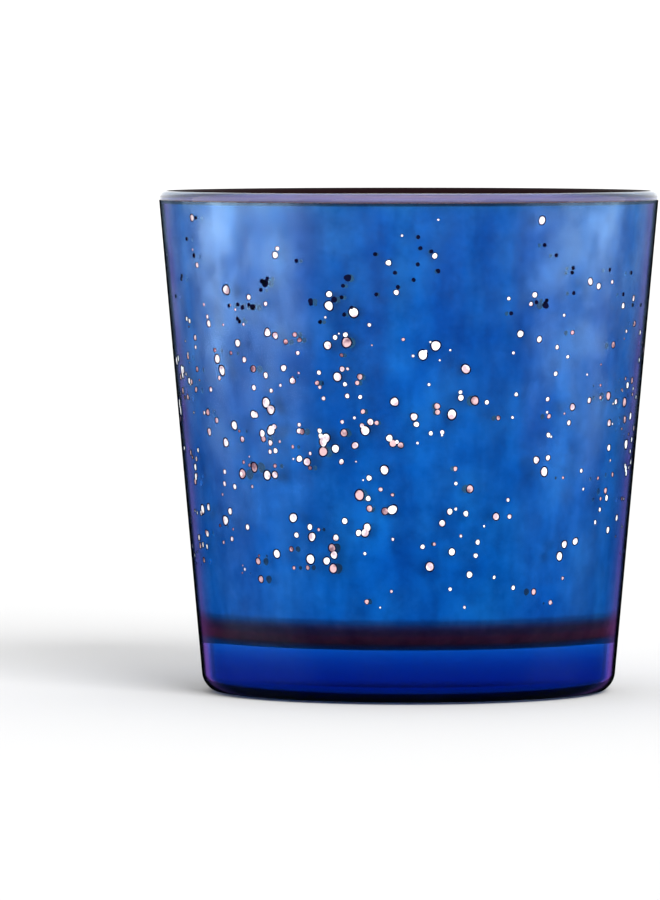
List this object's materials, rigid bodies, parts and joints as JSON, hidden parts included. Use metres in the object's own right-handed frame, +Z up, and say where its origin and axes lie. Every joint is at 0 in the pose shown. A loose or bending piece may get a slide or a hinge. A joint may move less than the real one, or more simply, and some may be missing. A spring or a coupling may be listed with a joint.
{
  "type": "votive candle cup",
  "caption": "Round tapered votive candle cup with a thick base, blue lacquered outside and speckled mirror inside, for standing a candle on a flat surface.",
  "frame": {"origin": "middle of the standing ring, on the surface the cup stands on", "axes": "+Z up along the cup's axis; the cup is round, so +X and +Y are any two level directions, and -Y is towards the viewer"},
  "size_m": [0.0698, 0.0698, 0.07],
  "materials": {
    "clear_glass": "clear pressed soda-lime glass, fire polished",
    "blue_lacquer": "gloss translucent blue lacquer with droplet marks",
    "silvered_coat": "silvered coat with droplet marks, slightly clouded",
    "copper_backing": "satin copper-toned protective coat"
  },
  "bodies": {
    "root": {"glass_body": "clear_glass", "blue_lacquer": "blue_lacquer", "mirror_coat": "silvered_coat", "copper_backing": "copper_backing"}
  },
  "joints": []
}
